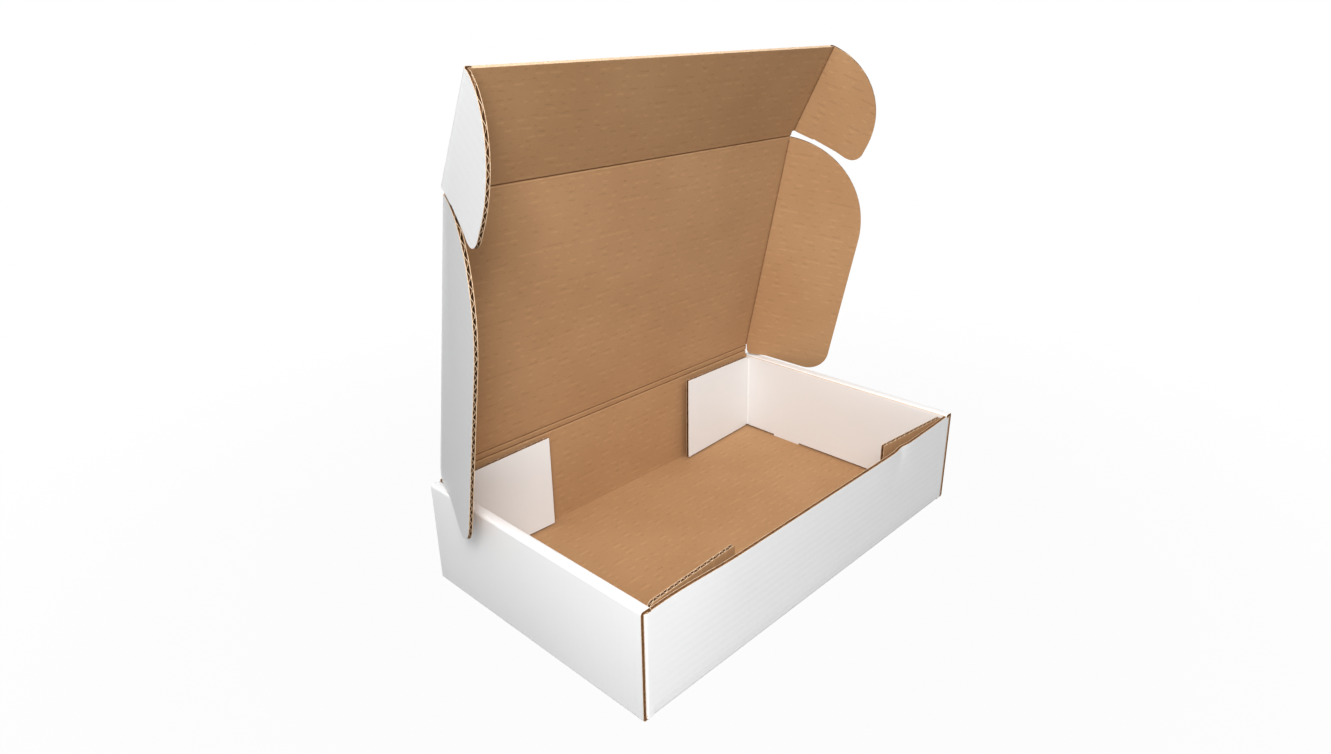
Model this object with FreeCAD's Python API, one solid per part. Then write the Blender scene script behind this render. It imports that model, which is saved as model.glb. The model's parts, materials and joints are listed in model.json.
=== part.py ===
import FreeCAD, Part
import math
import os

# Corrugated mailer box, folded from one die-cut sheet and shown open.
# Frame: origin in the middle of the underside, X along the front, Y to the back, Z up, millimetres.

# Board
board = 2.8                  # thickness of the single-wall board
layer_gap = 0.25             # air between layers that lie against each other
fold_radius = 0.3            # inside radius of a right-angled fold
score_gap = 0.2              # free width left at the middle of a score line
running_gap = 0.5            # clearance of a flap that swings beside a wall
flute_pitch = 6.4            # one wave of the paper between the liners
liner = 0.4                  # thickness of a liner
flute_depth = 3.5            # how deep the openings between the flutes are cut at a free edge

# Tray
length = 380.0               # across the outer side walls
depth = 225.5                # front wall to back wall, outside
height = 83.0                # top of the rolled side walls
front_drop = 1.0             # top edge of the front wall below the side walls
back_rise = 5.0              # score line on top of the back wall above the side walls
front_bow = 3.0              # the front wall's top edge stands out by this in its middle
bow_inset = 16.0             # from the outside of a side wall to where the bow begins
kink_place = 104.0           # a dent in the front wall's top edge, to the right of the middle
kink_width = 9.0
kink_drop = 1.3              # the dent stands back from the bow by this
side_setback = 0.5           # side wall ends stand back from the front and back faces
corner_flap_length = 100.0   # flaps of the front and back walls, trapped in the side walls
tab_width = 31.0             # tabs that lock the inner side panels in the floor
tab_inset = 41.5             # from the front or back face to the nearer end of a tab
tab_rise = 0.4               # tab end stays this far above the underside
slot_gap = 0.35              # floor slot is wider than the tab by this on each side

# Inner end flaps, at both ends of both inner side panels
front_flap_length = 85.0
back_flap_length = 98.0
back_flap_rise = 4.0         # its top edge rises by this to the free end
end_flap_corner = 2.5
end_flap_drop = 1.2          # top edge below the top of the side walls
end_flap_lift = 1.2          # lower edge above the floor
end_flap_slope = 5.0         # length of the sloping start of the top edge
front_left_swing = 2.5       # degrees away from the wall
front_right_swing = 4.8
back_left_swing = 1.6
back_right_swing = 3.4

# Lid
hinge_strip_width = 6.0      # between the two score lines over the back wall
lid_depth = 222.0            # back wall score line to tuck score line
flap_clearance = 0.3         # side flap to inner side panel when folded square
strip_lean = 9.0             # degrees forward of upright at rest
lid_bend = 3.1               # further lean of the lid over the strip
lay_back_slant = 52.0        # slant of the outside of this score line, so the lid lies back level
relief = 1.0                 # cut between a flap and the next score line

# Tuck panel and its ears
tuck_depth = 85.5
tuck_overhang = 2.6          # tuck is wider than the lid by this on each side
tuck_bend = 15.8             # degrees, towards the inside
ear_reach = 64.5
ear_corner = 10.0
ear_notch_start = 19.0
ear_notch_end = 43.0
ear_notch_depth = 2.0
ear_notch_slope = 2.0        # length of the notch's sloping start
ear_heel = 3.5               # lower edge of an ear above the score line
ear_toe_drop = 1.0           # beyond the notch it is lower by this
left_ear_fold = 75.0
right_ear_fold = 60.0

# Side flaps of the lid
flap_reach = 83.0
flap_corner = 12.0
flap_heel = 2.6              # lower edge above the back wall score line where it leaves the side wall
flap_heel_length = 34.0
flap_toe_drop = 4.0          # toe reaches below that score line, outside the side wall
flap_toe_slope = 28.0
flap_toe_round = 6.0
left_flap_fold = 69.5
right_flap_fold = 57.0

# Derived places
half_board = board / 2
wall_band = 3 * board + 2 * layer_gap
bend = fold_radius + half_board
front_height = height - front_drop
back_height = height + back_rise
outer_x = length / 2
front_y = -depth / 2
back_y = depth / 2
panel_x = outer_x - wall_band + half_board
end_corner = 2 * board + running_gap
lid_half = outer_x - wall_band - flap_clearance - half_board
tuck_half = lid_half + tuck_overhang
lid_panel_depth = lid_depth - hinge_strip_width
back_wall_y = back_y - half_board

V = FreeCAD.Vector
os.makedirs("parts", exist_ok=True)


def save(name, shape):
    """Write one piece to its own file."""
    shape.exportStep("parts/" + name + ".step")


def box(x0, x1, y0, y1, z0, z1):
    """Block between two corners."""
    return Part.makeBox(x1 - x0, y1 - y0, z1 - z0, V(x0, y0, z0))


def outline_face(corners):
    """Face from corners (x, y, radius) in the XY plane, each rounded by its radius."""
    edges = []
    count = len(corners)
    joints = []
    for i in range(count):
        x, y, radius = corners[i]
        here = V(x, y, 0)
        before = V(corners[i - 1][0], corners[i - 1][1], 0) - here
        after = V(corners[(i + 1) % count][0], corners[(i + 1) % count][1], 0) - here
        if radius <= 0:
            joints.append((here, here, None))
            continue
        before.normalize()
        after.normalize()
        half_angle = before.getAngle(after) / 2
        reach = radius / math.tan(half_angle)
        bisector = (before + after).normalize()
        centre = here + bisector * (radius / math.sin(half_angle))
        middle = centre - bisector * radius
        joints.append((here + before * reach, here + after * reach, middle))
    for i in range(count):
        start, end, middle = joints[i]
        if middle is not None:
            edges.append(Part.Arc(start, middle, end).toShape())
        following = joints[(i + 1) % count][0]
        if end.distanceToPoint(following) > 1e-6:
            edges.append(Part.makeLine(end, following))
    return Part.Face(Part.Wire(edges))


def folded_sheet(path, pointed_end=False):
    """Cross-section, in the XY plane, of board that follows a path of square folds along its middle."""
    left = []
    right = []
    last = len(path) - 1
    for i, (x, y) in enumerate(path):
        here = V(x, y, 0)
        ahead = (V(*path[i + 1], 0) - here).normalize() if i < last else None
        behind = (here - V(*path[i - 1], 0)).normalize() if i > 0 else None
        if ahead is None or behind is None:
            along = ahead or behind
            side = V(-along.y, along.x, 0) * half_board
            pull = along * (half_board if i == last and pointed_end else 0)
            left.append((here + side - pull, 0))
            right.append((here - side - pull, 0))
            continue
        mitre = V(-ahead.y, ahead.x, 0) + V(-behind.y, behind.x, 0)
        mitre = mitre * half_board
        turns_left = behind.cross(ahead).z > 0
        inner_radius = bend - half_board
        outer_radius = bend + half_board
        left.append((here + mitre, inner_radius if turns_left else outer_radius))
        right.append((here - mitre, outer_radius if turns_left else inner_radius))
    corners = [(p.x, p.y, r) for p, r in left]
    if pointed_end:
        corners.append((path[-1][0], path[-1][1], 0))
    corners += [(p.x, p.y, r) for p, r in reversed(right)]
    return outline_face(corners)


def along_y(face, y0, y1):
    """Section drawn as (x, z), extruded from y0 to y1."""
    turned = face.copy()
    turned.rotate(V(0, 0, 0), V(1, 0, 0), 90)
    turned.translate(V(0, y0, 0))
    return turned.extrude(V(0, y1 - y0, 0))


def along_x(face, x0, x1):
    """Section drawn as (y, z), extruded from x0 to x1."""
    turned = face.copy()
    turned.rotate(V(0, 0, 0), V(1, 1, 1), 120)
    turned.translate(V(x0, 0, 0))
    return turned.extrude(V(x1 - x0, 0, 0))


def both_sides(shape):
    """A shape and its mirror image on the other side of the middle plane."""
    return [shape, shape.mirror(V(0, 0, 0), V(1, 0, 0))]


def side_wall():
    """Right side wall with its half of the floor, rolled over the top and down to the floor."""
    path = [
        (0, half_board),
        (outer_x - half_board, half_board),
        (outer_x - half_board, height - half_board),
        (panel_x, height - half_board),
        (panel_x, board + layer_gap),
    ]
    rolled = along_y(folded_sheet(path), front_y + side_setback, back_y - side_setback)
    x0 = outer_x - wall_band - 1
    x1 = outer_x - board
    below_band = height - board - layer_gap
    for y_face, inward in ((front_y, 1), (back_y, -1)):
        outside = y_face - inward
        for reach, top in ((board + layer_gap, height + 1), (end_corner + score_gap / 2, below_band)):
            y0, y1 = sorted((outside, y_face + inward * reach))
            rolled = rolled.cut(box(x0, x1, y0, y1, board, top))
    return rolled


def tab_places():
    """Middle of each tab along Y."""
    inset = tab_inset + tab_width / 2
    return (front_y + inset, back_y - inset)


def bow_at(x):
    """How far the front wall's top edge stands out at a place along it."""
    reach = outer_x - bow_inset
    level = max(1 - (abs(x) / reach) ** 4, 0)
    dent = kink_drop * math.exp(-((x - kink_place) / kink_width) ** 2)
    return max(front_bow * level - dent, 0)


def bowed_line(y, z, reach):
    """Curve along the top of the front wall, bowed outwards between its ends."""
    steps = 24
    points = [V(-reach + 2 * reach * i / steps, y, z) for i in range(steps + 1)]
    for point in points[1:-1]:
        point.y -= bow_at(point.x)
    curve = Part.BSplineCurve()
    curve.interpolate(points)
    return curve.toShape()


def front_wall():
    """Front wall on the front edge of the floor, its top edge bowed outwards between the corners."""
    foot = board + bend
    path = [(0, half_board), (front_y + half_board, half_board), (front_y + half_board, foot)]
    end = outer_x - board - layer_gap - bend - half_board
    base = along_x(folded_sheet(path), -end, end)
    reach = outer_x - bow_inset
    y_out = front_y
    y_in = front_y + board
    pieces = both_sides(box(reach, end, y_out, y_in, foot, front_height))
    low_out = Part.makeLine(V(-reach, y_out, foot), V(reach, y_out, foot))
    low_in = Part.makeLine(V(-reach, y_in, foot), V(reach, y_in, foot))
    high_out = bowed_line(y_out, front_height, reach)
    high_in = bowed_line(y_in, front_height, reach)
    faces = [Part.makeRuledSurface(a, b) for a, b in (
        (low_out, high_out), (low_in, high_in), (low_out, low_in), (high_out, high_in),
    )]
    for x in (-reach, reach):
        corners = [V(x, y_out, foot), V(x, y_in, foot), V(x, y_in, front_height), V(x, y_out, front_height)]
        faces.append(Part.Face(Part.makePolygon(corners + [corners[0]])))
    shell = Part.makeShell([f for face in faces for f in face.Faces])
    shell.sewShape()
    middle = Part.makeSolid(shell)
    if middle.Volume < 0:
        middle.reverse()
    return base.fuse(pieces + [middle])


def back_wall():
    """Back wall, up to the first score line of the lid."""
    tip = back_height - score_gap / 2
    path = [(0, half_board), (back_wall_y, half_board), (back_wall_y, tip)]
    end = outer_x - board - layer_gap - bend - half_board
    wall = along_x(folded_sheet(path, pointed_end=True), -end, end)
    shoulder = height - board - layer_gap
    for x0, x1 in ((lid_half, end + 1), (-end - 1, -lid_half)):
        wall = wall.cut(box(x0, x1, back_y - board - 1, back_y + 1, shoulder, back_height + 1))
    return wall


def corner_flap(y_face, inward):
    """Right corner flap of the front or back wall, trapped inside the rolled side wall."""
    x = outer_x - board - layer_gap - half_board
    start = x - 3 * bend
    y = y_face + inward * half_board
    path = [(start, y), (x, y), (x, y_face + inward * corner_flap_length)]
    face = folded_sheet(path)
    z0 = board + layer_gap
    z1 = height - board - layer_gap
    face.translate(V(0, 0, z0))
    return face.extrude(V(0, 0, z1 - z0))


def tray():
    """Floor, walls, rolled side walls, trapped corner flaps and locking tabs: one folded piece."""
    pieces = []
    pieces += both_sides(side_wall())
    pieces += both_sides(corner_flap(front_y, 1))
    pieces += both_sides(corner_flap(back_y, -1))
    pieces += [front_wall(), back_wall()]
    body = pieces[0].fuse(pieces[1:])
    for y in tab_places():
        half = tab_width / 2
        x0 = panel_x - half_board
        x1 = panel_x + half_board
        slot_half = half + slot_gap
        slot = box(x0 - slot_gap, x1 + slot_gap, y - slot_half, y + slot_half, -1, board + layer_gap / 2)
        tab = box(x0, x1, y - half, y + half, tab_rise, board + 2 * layer_gap)
        for cut, lock in zip(both_sides(slot), both_sides(tab)):
            body = body.cut(cut).fuse(lock)
    return body.removeSplitter()


def bevel(shape, start, end, outward, outside_slant=45.0):
    """Slant both faces of a flat piece towards its score line, from start to end."""
    along = (end - start).normalize()
    over = 2.0
    tip = half_board + 0.5
    for face_side, slant in ((1, 45.0), (-1, outside_slant)):
        a = start - along * over - outward * (score_gap / 2)
        high = V(0, 0, face_side * tip)
        back = outward * (tip * math.tan(math.radians(slant)))
        points = [a, a + outward * tip, a + outward * tip + high, a - back + high]
        wedge = Part.Face(Part.makePolygon(points + [points[0]]))
        shape = shape.cut(wedge.extrude(along * (end.distanceToPoint(start) + 2 * over)))
    return shape


def flat_piece(corners):
    """Board cut to an outline, with its middle plane at z = 0."""
    face = outline_face(corners)
    face.translate(V(0, 0, -half_board))
    return face.extrude(V(0, 0, board))


def round_edge(s, centre, radius):
    """Reach of a flap at a place along its score line: straight, then a quarter circle."""
    over = max(s - centre, 0)
    return math.sqrt(max(radius ** 2 - over ** 2, 0))


def flute_openings(piece, start, stop, edge):
    """Cut the openings on both sides of the wavy paper into a free edge across the flutes."""
    inside = half_board - liner
    web = liner * 1.25
    half_base = flute_pitch / 2 - web
    cutters = []
    count = int((stop - start) / (flute_pitch / 2))
    for i in range(1, count):
        place = start + i * flute_pitch / 2
        side = 1 if i % 2 else -1
        near = edge(place) - flute_depth
        if near < flute_depth:
            continue
        points = [V(place - half_base, near, -side * inside), V(place + half_base, near, -side * inside),
                  V(place, near, side * (inside - web))]
        far = edge(place - half_base) + board
        face = Part.Face(Part.makePolygon(points + [points[0]]))
        cutters.append(face.extrude(V(0, far - near, 0)))
    return piece.cut(Part.makeCompound(cutters))


def hinge_strip():
    """Narrow strip between the two score lines over the back wall."""
    half = lid_half
    w = hinge_strip_width
    piece = flat_piece([(-half, 0, 0), (half, 0, 0), (half, w, 0), (-half, w, 0)])
    piece = bevel(piece, V(-half, 0, 0), V(half, 0, 0), V(0, -1, 0))
    return bevel(piece, V(-half, w, 0), V(half, w, 0), V(0, 1, 0), lay_back_slant)


def lid_panel():
    """Top panel of the lid, between its four score lines."""
    half = lid_half
    d = lid_panel_depth
    piece = flat_piece([(-half, 0, 0), (half, 0, 0), (half, d, 0), (-half, d, 0)])
    piece = bevel(piece, V(-half, 0, 0), V(half, 0, 0), V(0, -1, 0), lay_back_slant)
    piece = bevel(piece, V(-half, d, 0), V(half, d, 0), V(0, 1, 0))
    piece = bevel(piece, V(-half, 0, 0), V(-half, d, 0), V(-1, 0, 0))
    return bevel(piece, V(half, 0, 0), V(half, d, 0), V(1, 0, 0))


def tuck():
    """Tuck panel, slightly wider than the lid, with small corners cut off beside the lid."""
    half = tuck_half
    step = 2 * tuck_overhang
    piece = flat_piece([
        (-lid_half, 0, 0), (lid_half, 0, 0), (half, step, 0), (half, tuck_depth, 0),
        (-half, tuck_depth, 0), (-half, step, 0),
    ])
    piece = bevel(piece, V(-half, 0, 0), V(half, 0, 0), V(0, -1, 0))
    piece = bevel(piece, V(-half, 0, 0), V(-half, tuck_depth, 0), V(-1, 0, 0))
    return bevel(piece, V(half, 0, 0), V(half, tuck_depth, 0), V(1, 0, 0))


def quarter_round(start, end, centre, radius):
    """Arc from start to end about a centre, through its middle direction."""
    middle = ((start - centre) + (end - centre)).normalize() * radius + centre
    return Part.Arc(start, middle, end).toShape()


def hinged_flap(shape_edges, crease_start, crease_end):
    """Flat piece from edges in the XY plane, slanted along the score line on y = 0."""
    face = Part.Face(Part.Wire(Part.__sortEdges__(shape_edges)))
    face.translate(V(0, 0, -half_board))
    piece = face.extrude(V(0, 0, board))
    return bevel(piece, V(crease_start, 0, 0), V(crease_end, 0, 0), V(0, -1, 0))


def rounded_edges(corners):
    """Edges of an open run of corners (x, y, radius), rounded where a radius is given."""
    edges = []
    previous = V(corners[0][0], corners[0][1], 0)
    for i in range(1, len(corners)):
        x, y, radius = corners[i]
        here = V(x, y, 0)
        if i == len(corners) - 1 or radius <= 0:
            edges.append(Part.makeLine(previous, here))
            previous = here
            continue
        back = (V(corners[i - 1][0], corners[i - 1][1], 0) - here).normalize()
        ahead = (V(corners[i + 1][0], corners[i + 1][1], 0) - here).normalize()
        half_angle = back.getAngle(ahead) / 2
        reach = radius / math.tan(half_angle)
        bisector = (back + ahead).normalize()
        middle = here + bisector * (radius / math.sin(half_angle) - radius)
        edges.append(Part.makeLine(previous, here + back * reach))
        edges.append(Part.Arc(here + back * reach, middle, here + ahead * reach).toShape())
        previous = here + ahead * reach
    return edges


def side_flap():
    """Side flap of the lid: square at the hinge end, a quarter circle at the tuck end."""
    top = lid_panel_depth - relief
    heel = flap_heel - hinge_strip_width
    toe = -flap_toe_drop - hinge_strip_width
    centre = V(top - flap_reach, 0, 0)
    end = V(top, 0, 0)
    shoulder = V(top - flap_reach, flap_reach, 0)
    corners = [
        (relief, 0, 0), (relief, half_board, 0), (heel, flap_heel_length, 0),
        (toe, flap_heel_length + flap_toe_slope, flap_toe_round),
        (toe, flap_reach, flap_corner), (shoulder.x, shoulder.y, 0),
    ]
    edges = rounded_edges(corners)
    edges.append(quarter_round(shoulder, end, centre, flap_reach))
    edges.append(Part.makeLine(end, V(relief, 0, 0)))
    piece = hinged_flap(edges, relief, top)
    return flute_openings(piece, toe + flap_corner, top, lambda s: round_edge(s, centre.x, flap_reach))


def ear():
    """Ear of the tuck panel: a quarter circle with a small round corner and a shallow notch."""
    radius = ear_reach
    centre = V(tuck_depth - radius, 0, 0)
    end = V(tuck_depth, 0, 0)
    shoulder = V(tuck_depth - radius, radius, 0)
    root = max(ear_heel, 2 * tuck_overhang)
    notch = ear_heel + ear_notch_depth
    toe = ear_heel - ear_toe_drop
    corners = [
        (root, 0, 0), (root, ear_notch_start - ear_notch_slope, 0), (notch, ear_notch_start, 0),
        (notch, ear_notch_end, 0), (toe, ear_notch_end, 0),
        (toe, ear_reach, ear_corner), (shoulder.x, shoulder.y, 0),
    ]
    edges = rounded_edges(corners)
    edges.append(quarter_round(shoulder, end, centre, radius))
    edges.append(Part.makeLine(end, V(root, 0, 0)))
    piece = hinged_flap(edges, root, tuck_depth)
    return flute_openings(piece, toe + ear_corner, tuck_depth, lambda s: round_edge(s, centre.x, radius))


def placed(shape, frame):
    """Copy of a shape moved into a frame."""
    copy = shape.copy()
    copy.Placement = frame.multiply(copy.Placement)
    return copy


def turn(axis, degrees):
    """Frame turned about an axis through its origin."""
    return FreeCAD.Placement(V(0, 0, 0), FreeCAD.Rotation(axis, degrees))


def shift(x, y, z):
    """Frame moved without turning."""
    return FreeCAD.Placement(V(x, y, z), FreeCAD.Rotation())


def lid_frames():
    """Frames of the strip, lid and tuck at rest: x along the hinge, y away from it, z to the inside."""
    strip = shift(0, back_wall_y, back_height).multiply(turn(V(1, 0, 0), 90 + strip_lean))
    lid = strip.multiply(shift(0, hinge_strip_width, 0)).multiply(turn(V(1, 0, 0), lid_bend))
    tuck_frame = lid.multiply(shift(0, lid_panel_depth, 0)).multiply(turn(V(1, 0, 0), tuck_bend))
    return strip, lid, tuck_frame


def left_frame(panel, half_width, fold):
    """Frame of a flap on the left edge of a panel: x up the score line, y outwards before folding."""
    edge = panel.multiply(shift(-half_width, 0, 0)).multiply(turn(V(0, 0, 1), 90))
    return edge.multiply(turn(V(1, 0, 0), fold))


def right_frame(panel, half_width, fold):
    """Frame of a flap on the right edge of a panel: x down the score line, y outwards before folding."""
    edge = panel.multiply(shift(half_width, 0, 0)).multiply(turn(V(0, 0, 1), -90))
    return edge.multiply(turn(V(1, 0, 0), fold))


def end_flap(flap_length, rise):
    """Inner end flap, standing: x from its score line to the free end, inside face on y = 0."""
    low = board + end_flap_lift
    high = height - end_flap_drop
    start = score_gap / 2
    start_high = height - board - end_flap_drop
    corners = [
        (start, low, 0), (flap_length, low, end_flap_corner), (flap_length, high + rise, end_flap_corner),
        (end_flap_slope, high, 0), (start, start_high, 0),
    ]
    piece = flat_piece(corners)
    slope = rise / (flap_length - end_flap_slope)
    piece = flute_openings(piece, end_flap_slope, flap_length - end_flap_corner,
                           lambda x: high + (x - end_flap_slope) * slope)
    piece.rotate(V(0, 0, 0), V(1, 0, 0), 90)
    return piece


def end_flap_placed(side, inward, flap_length, swing):
    """An inner end flap at its corner of the tray, swung away from the wall by some degrees."""
    y_face = front_y if inward > 0 else back_y
    piece = end_flap(flap_length, 0 if inward > 0 else back_flap_rise)
    piece.translate(V(0, -inward * half_board, 0))
    if side > 0:
        piece = piece.mirror(V(0, 0, 0), V(1, 0, 0))
    turn_in = -side * inward * swing
    corner = shift(side * (outer_x - wall_band), y_face + inward * end_corner, 0)
    return placed(piece, corner.multiply(turn(V(0, 0, 1), turn_in)))


def build():
    """Make every piece at rest and write it out."""
    strip, lid, tuck_frame = lid_frames()
    save("tray", tray())
    save("lid_hinge_strip", placed(hinge_strip(), strip))
    save("lid", placed(lid_panel(), lid))
    save("tuck_panel", placed(tuck(), tuck_frame))
    flap = side_flap()
    mirrored_flap = flap.mirror(V(0, 0, 0), V(1, 0, 0))
    save("side_flap_left", placed(flap, left_frame(lid, lid_half, left_flap_fold)))
    save("side_flap_right", placed(mirrored_flap, right_frame(lid, lid_half, right_flap_fold)))
    left_ear = ear()
    right_ear = left_ear.mirror(V(0, 0, 0), V(1, 0, 0))
    save("tuck_ear_left", placed(left_ear, left_frame(tuck_frame, tuck_half, left_ear_fold)))
    save("tuck_ear_right", placed(right_ear, right_frame(tuck_frame, tuck_half, right_ear_fold)))
    save("inner_flap_front_left", end_flap_placed(-1, 1, front_flap_length, front_left_swing))
    save("inner_flap_front_right", end_flap_placed(1, 1, front_flap_length, front_right_swing))
    save("inner_flap_back_left", end_flap_placed(-1, -1, back_flap_length, back_left_swing))
    save("inner_flap_back_right", end_flap_placed(1, -1, back_flap_length, back_right_swing))


build()
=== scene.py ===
"""Corrugated mailer box, standing open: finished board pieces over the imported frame."""
from __future__ import annotations

import json
import logging
import math
from collections.abc import Callable, Iterable, Sequence
from dataclasses import dataclass
from enum import Enum, IntEnum

import bmesh
import bpy
from mathutils import Matrix, Vector
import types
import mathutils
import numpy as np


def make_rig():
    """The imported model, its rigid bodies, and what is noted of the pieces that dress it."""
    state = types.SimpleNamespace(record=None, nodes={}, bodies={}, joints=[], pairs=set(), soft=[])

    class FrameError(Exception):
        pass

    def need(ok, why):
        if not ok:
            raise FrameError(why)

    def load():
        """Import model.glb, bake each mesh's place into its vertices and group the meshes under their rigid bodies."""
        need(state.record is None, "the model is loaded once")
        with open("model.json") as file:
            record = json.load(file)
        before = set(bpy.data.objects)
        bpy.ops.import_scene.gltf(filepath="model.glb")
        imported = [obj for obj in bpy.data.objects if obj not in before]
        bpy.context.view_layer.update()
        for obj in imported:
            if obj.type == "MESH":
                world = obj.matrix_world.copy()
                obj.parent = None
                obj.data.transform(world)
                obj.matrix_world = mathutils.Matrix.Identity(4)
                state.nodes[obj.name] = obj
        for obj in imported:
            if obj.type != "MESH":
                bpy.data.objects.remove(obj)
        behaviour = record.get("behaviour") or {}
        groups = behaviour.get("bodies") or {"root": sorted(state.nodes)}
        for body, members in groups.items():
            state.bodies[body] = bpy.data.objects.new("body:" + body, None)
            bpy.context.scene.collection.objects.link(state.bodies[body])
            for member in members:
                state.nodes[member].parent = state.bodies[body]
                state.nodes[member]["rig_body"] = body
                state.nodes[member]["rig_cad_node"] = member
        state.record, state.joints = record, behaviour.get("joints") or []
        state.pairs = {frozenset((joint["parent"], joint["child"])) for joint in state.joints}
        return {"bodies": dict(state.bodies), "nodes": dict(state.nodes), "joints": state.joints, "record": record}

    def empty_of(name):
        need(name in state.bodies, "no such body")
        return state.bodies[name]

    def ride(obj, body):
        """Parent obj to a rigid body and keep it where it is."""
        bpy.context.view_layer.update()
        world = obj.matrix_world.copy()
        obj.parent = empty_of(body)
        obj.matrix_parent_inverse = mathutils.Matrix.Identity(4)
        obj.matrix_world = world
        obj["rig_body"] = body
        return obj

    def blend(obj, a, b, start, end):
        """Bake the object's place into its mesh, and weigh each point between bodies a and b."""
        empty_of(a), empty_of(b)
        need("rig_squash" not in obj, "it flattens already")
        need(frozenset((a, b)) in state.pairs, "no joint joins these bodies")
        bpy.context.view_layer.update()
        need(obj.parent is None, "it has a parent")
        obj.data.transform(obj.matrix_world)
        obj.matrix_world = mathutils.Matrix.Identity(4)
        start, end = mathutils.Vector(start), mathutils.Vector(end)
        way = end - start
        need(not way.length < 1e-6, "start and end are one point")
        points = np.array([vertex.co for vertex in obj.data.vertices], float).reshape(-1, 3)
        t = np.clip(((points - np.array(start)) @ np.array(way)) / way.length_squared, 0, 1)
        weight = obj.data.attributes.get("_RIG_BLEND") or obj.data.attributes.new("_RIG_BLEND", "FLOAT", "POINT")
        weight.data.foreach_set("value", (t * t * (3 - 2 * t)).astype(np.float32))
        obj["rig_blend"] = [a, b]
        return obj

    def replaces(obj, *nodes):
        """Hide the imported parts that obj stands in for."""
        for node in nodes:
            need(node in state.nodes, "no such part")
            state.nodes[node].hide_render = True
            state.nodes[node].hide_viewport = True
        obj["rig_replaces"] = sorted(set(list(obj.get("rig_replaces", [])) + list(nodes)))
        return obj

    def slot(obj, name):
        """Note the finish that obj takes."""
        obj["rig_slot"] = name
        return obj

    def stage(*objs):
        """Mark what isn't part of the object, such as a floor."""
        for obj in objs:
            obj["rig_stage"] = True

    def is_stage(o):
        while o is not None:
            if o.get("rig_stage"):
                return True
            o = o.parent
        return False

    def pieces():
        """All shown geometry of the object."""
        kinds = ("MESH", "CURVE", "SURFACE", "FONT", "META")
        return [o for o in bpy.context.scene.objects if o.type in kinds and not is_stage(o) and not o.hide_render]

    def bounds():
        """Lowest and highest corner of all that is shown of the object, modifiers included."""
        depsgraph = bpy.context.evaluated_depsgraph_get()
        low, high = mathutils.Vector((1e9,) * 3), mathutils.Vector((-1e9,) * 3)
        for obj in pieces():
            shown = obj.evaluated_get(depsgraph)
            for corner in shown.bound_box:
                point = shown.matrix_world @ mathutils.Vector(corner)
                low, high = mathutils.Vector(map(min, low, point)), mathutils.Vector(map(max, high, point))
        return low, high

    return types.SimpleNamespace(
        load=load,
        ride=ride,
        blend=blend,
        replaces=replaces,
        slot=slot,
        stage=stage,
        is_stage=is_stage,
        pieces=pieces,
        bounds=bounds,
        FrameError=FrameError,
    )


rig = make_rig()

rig.load()
CAD_BOX = [list(corner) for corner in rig.bounds()]

LOG = logging.getLogger("mailer_box")
MM = 0.001
FLUTE_PITCH = 6.4 * MM
# air between layers that would share a face
HAIRLINE = 0.01 * MM
# places closer than this count as the same
NEAR = 0.1 * MM
# a rounding of this radius or more gets more segments
LARGE_RADIUS = 20 * MM
LEAST_RADIUS = 0.05 * MM
# edges that turn by more degrees than this are shaded sharp
SHARP_ANGLE = 38


class Slot(IntEnum):
    """Order of the material slots on every piece of board."""

    WHITE = 0
    KRAFT = 1
    CUT = 2
    # fluting paper and the liners' hidden faces, in a brown darkened as painted shade of the flute hollows
    MEDIUM = 3


class Core(Enum):
    """What shows between the two liners of a piece."""

    WAVY = "wavy"
    RECESSED = "recessed"


class Signal:
    """A number inside a shader, with arithmetic that adds Math nodes."""

    def __init__(self, shader: Shader, socket: bpy.types.NodeSocket) -> None:
        """Wrap one output socket of a shader."""
        self.shader = shader
        self.socket = socket

    def _math(self, operation: str, *values: Signal | float) -> Signal:
        """Add a Math node.

        Args:
            operation: The node's operation.
            values: Its inputs in order.

        Returns:
            The node's result.
        """
        inputs = dict(enumerate(values))
        return self.shader.node("ShaderNodeMath", {"operation": operation}, inputs).signal()

    def __add__(self, other: Signal | float) -> Signal:
        """Sum."""
        return self._math("ADD", self, other)

    def __mul__(self, other: Signal | float) -> Signal:
        """Product."""
        return self._math("MULTIPLY", self, other)

    def __sub__(self, other: Signal | float) -> Signal:
        """Difference."""
        return self._math("SUBTRACT", self, other)

    def sine(self) -> Signal:
        """Sine of an angle in radians."""
        return self._math("SINE", self)

    def ramp(self, low: float, high: float) -> Signal:
        """Smooth step from 0 at low to 1 at high.

        Args:
            low: Value that gives 0.
            high: Value that gives 1.

        Returns:
            The eased value.
        """
        settings = {"interpolation_type": "SMOOTHSTEP", "clamp": True}
        inputs = {"Value": self, "From Min": low, "From Max": high}
        return self.shader.node("ShaderNodeMapRange", settings, inputs).signal()


class Made:
    """A node that was just added."""

    def __init__(self, shader: Shader, node: bpy.types.Node) -> None:
        """Keep the node and its shader."""
        self.shader = shader
        self.node = node

    def out(self, name: str | int = 0) -> bpy.types.NodeSocket:
        """One output socket by name or place."""
        return self.node.outputs[name]

    def signal(self, name: str | int = 0) -> Signal:
        """One output as a number."""
        return Signal(self.shader, self.out(name))


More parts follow.
